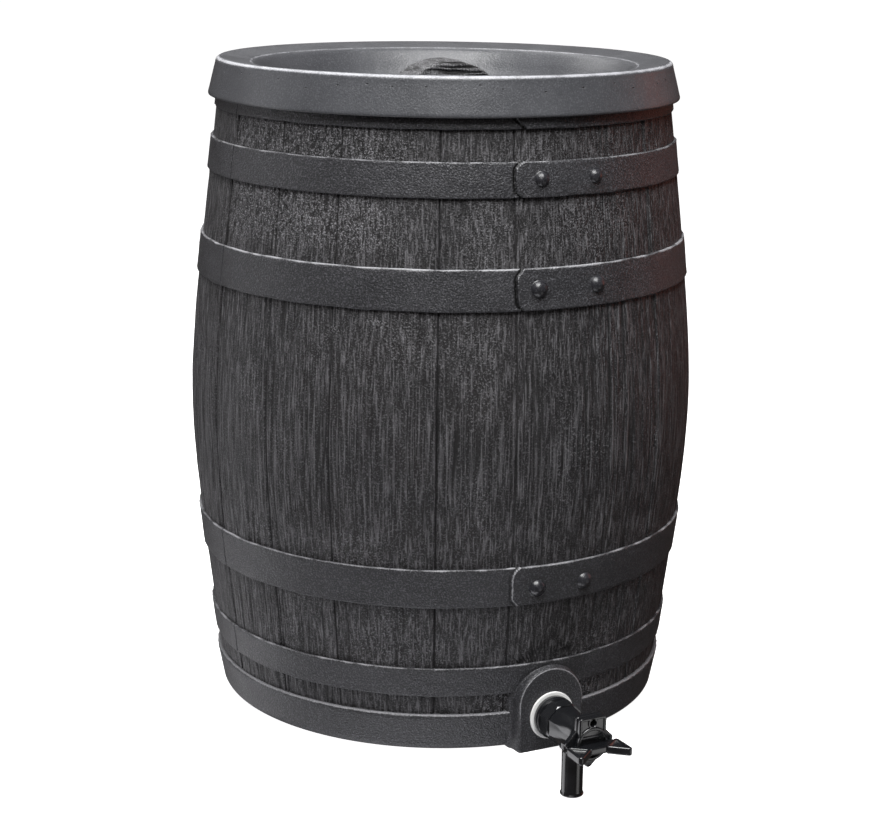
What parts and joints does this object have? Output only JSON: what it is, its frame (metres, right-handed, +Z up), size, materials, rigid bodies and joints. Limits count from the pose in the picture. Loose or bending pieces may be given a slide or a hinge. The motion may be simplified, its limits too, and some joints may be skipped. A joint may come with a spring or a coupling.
{
  "type": "rain barrel",
  "caption": "Open-topped plastic water barrel shaped like a staved wooden cask, with a lift-off dished lid, log-shaped grip and lockable quarter-turn tap.",
  "frame": {"origin": "on the barrel's axis, in the plane of its base", "axes": "+Z up along the barrel's axis, -Y out along the tap, +X to the right seen from the tap's side"},
  "size_m": [0.4018, 0.4747, 0.5314],
  "materials": {
    "barrel_plastic": "satin, moulded wood grain",
    "tap_plastic": "gloss",
    "nut_plastic": "satin",
    "white_seal": "smooth",
    "o_ring_rubber": "smooth"
  },
  "bodies": {
    "barrel": {"barrel_shell": "barrel_plastic", "tap_body": "tap_plastic", "tap_outer_seal": "white_seal", "tap_inner_seal": "o_ring_rubber", "tap_back_nut": "nut_plastic"},
    "lid": {"lid": "barrel_plastic"},
    "tap_key": {"tap_handle_plug": "tap_plastic", "plug_rear_o_ring": "o_ring_rubber", "plug_front_o_ring": "o_ring_rubber", "plug_retaining_ring": "nut_plastic"}
  },
  "joints": [
    {"name": "lid_lift", "type": "slide", "parent": "barrel", "child": "lid", "axis": [0, 0, 1], "range_m": [0, 0.25]},
    {"name": "tap_turn", "type": "hinge", "parent": "barrel", "child": "tap_key", "pos_m": [0, -0.25, 0.027], "axis": [0, -1, 0], "range_deg": [0, 90]}
  ]
}
